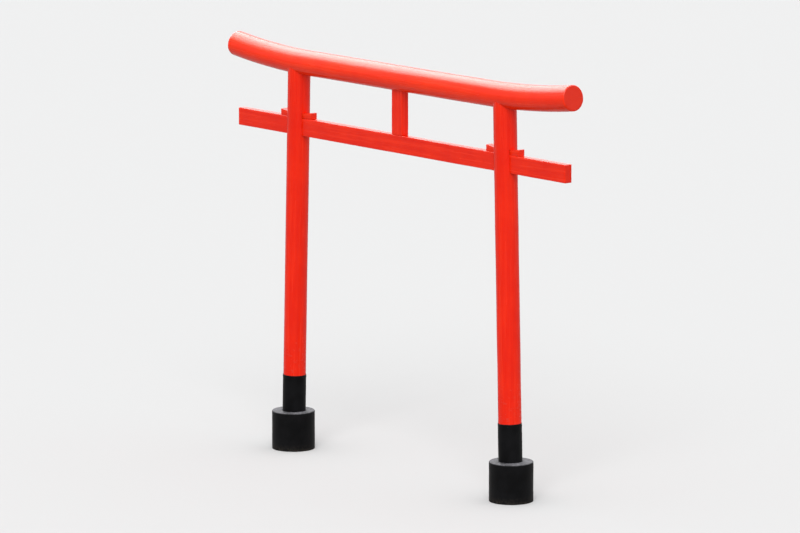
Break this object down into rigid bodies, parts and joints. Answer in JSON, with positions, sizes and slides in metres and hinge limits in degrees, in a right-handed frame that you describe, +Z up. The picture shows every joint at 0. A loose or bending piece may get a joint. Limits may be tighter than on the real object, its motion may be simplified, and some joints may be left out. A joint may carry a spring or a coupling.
{
  "type": "torii gate",
  "caption": "Small painted timber torii gate: a bowed round lintel and a wedged tie beam on leaning round posts, in black root wraps and round footings.",
  "frame": {"origin": "on the ground, midway between the two footings", "axes": "+X along the lintel from left to right as seen from the front, +Y through the passage from front to back, +Z up"},
  "size_m": [3.03, 0.255, 2.4481],
  "materials": {
    "lintel_paint": "gloss vermilion paint over turned log",
    "beam_paint": "gloss vermilion paint over sawn timber",
    "post_paint": "gloss vermilion paint over turned log",
    "wedge_paint": "gloss vermilion paint over split hardwood",
    "wrap_black": "satin black paint on sheet metal",
    "footing_black": "satin black paint on cast concrete"
  },
  "bodies": {
    "root": {"lintel": "lintel_paint", "tie_beam": "beam_paint", "centre_strut": "beam_paint", "left_post": "post_paint", "right_post": "post_paint", "left_inner_wedge": "wedge_paint", "right_inner_wedge": "wedge_paint", "left_outer_wedge": "wedge_paint", "right_outer_wedge": "wedge_paint", "left_root_wrap": "wrap_black", "right_root_wrap": "wrap_black", "left_footing": "footing_black", "right_footing": "footing_black"}
  },
  "joints": []
}
